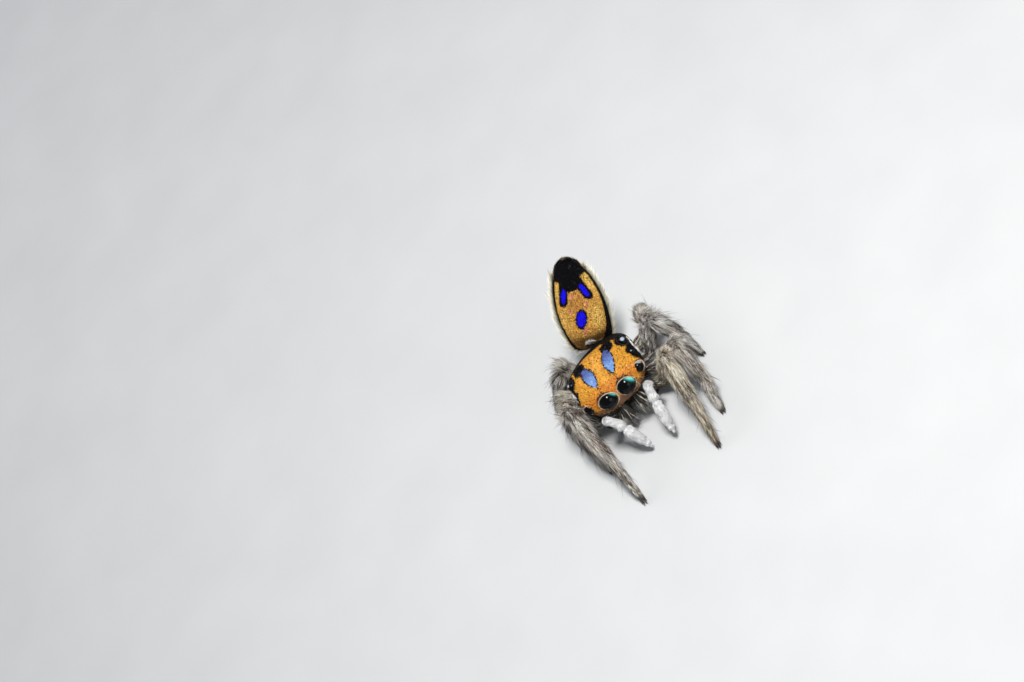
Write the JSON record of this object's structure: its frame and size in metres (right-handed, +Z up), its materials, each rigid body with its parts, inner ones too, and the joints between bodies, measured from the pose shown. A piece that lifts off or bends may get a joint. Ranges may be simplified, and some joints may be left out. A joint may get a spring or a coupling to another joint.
{
  "type": "peacock spider figure",
  "caption": "Still life-size model of a male peacock spider, patterned abdomen raised, hairy legs gathered forward and white palps hanging.",
  "frame": {"origin": "bottom centre of the bounding box, on the floor that the feet stand on", "axes": "+Z up, -Y the way the spider faces, +X to the spider's own left"},
  "size_m": [0.0042, 0.006, 0.0032],
  "materials": {
    "eyes": "glossy black with a green sheen",
    "carapace_scales": "orange scales with two blue ovals and black edges",
    "abdomen_scales": "gold scales with blue-violet spots, black tip and edges",
    "palp_hair": "dense white scale hair",
    "leg_hair": "long grey and cream hair over brown",
    "jaw_hair": "dark with long pale hair",
    "body_cuticle": "dark brown"
  },
  "bodies": {
    "root": {"abdomen": "abdomen_scales", "carapace": "carapace_scales", "chelicera_left": "jaw_hair", "chelicera_right": "jaw_hair", "eye_front_side_left": "eyes", "eye_front_side_right": "eyes", "eye_main_left": "eyes", "eye_main_right": "eyes", "eye_rear_left": "eyes", "eye_rear_right": "eyes", "eye_small_left": "eyes", "eye_small_right": "eyes", "leg1_left_foot": "leg_hair", "leg1_left_shin": "leg_hair", "leg1_left_thigh": "leg_hair", "leg1_right_foot": "leg_hair", "leg1_right_shin": "leg_hair", "leg1_right_thigh": "leg_hair", "leg2_left_foot": "leg_hair", "leg2_left_shin": "leg_hair", "leg2_left_thigh": "leg_hair", "leg2_right_foot": "leg_hair", "leg2_right_shin": "leg_hair", "leg2_right_thigh": "leg_hair", "leg3_left_foot": "leg_hair", "leg3_left_shin": "leg_hair", "leg3_left_thigh": "leg_hair", "leg3_right_foot": "leg_hair", "leg3_right_shin": "leg_hair", "leg3_right_thigh": "leg_hair", "leg4_left_foot": "leg_hair", "leg4_left_shin": "leg_hair", "leg4_left_thigh": "leg_hair", "leg4_right_foot": "leg_hair", "leg4_right_shin": "leg_hair", "leg4_right_thigh": "leg_hair", "palp_arm_left": "palp_hair", "palp_arm_right": "palp_hair", "palp_hand_left": "palp_hair", "palp_hand_right": "palp_hair", "pedicel": "body_cuticle", "spinnerets": "body_cuticle", "sternum": "body_cuticle"}
  },
  "joints": []
}
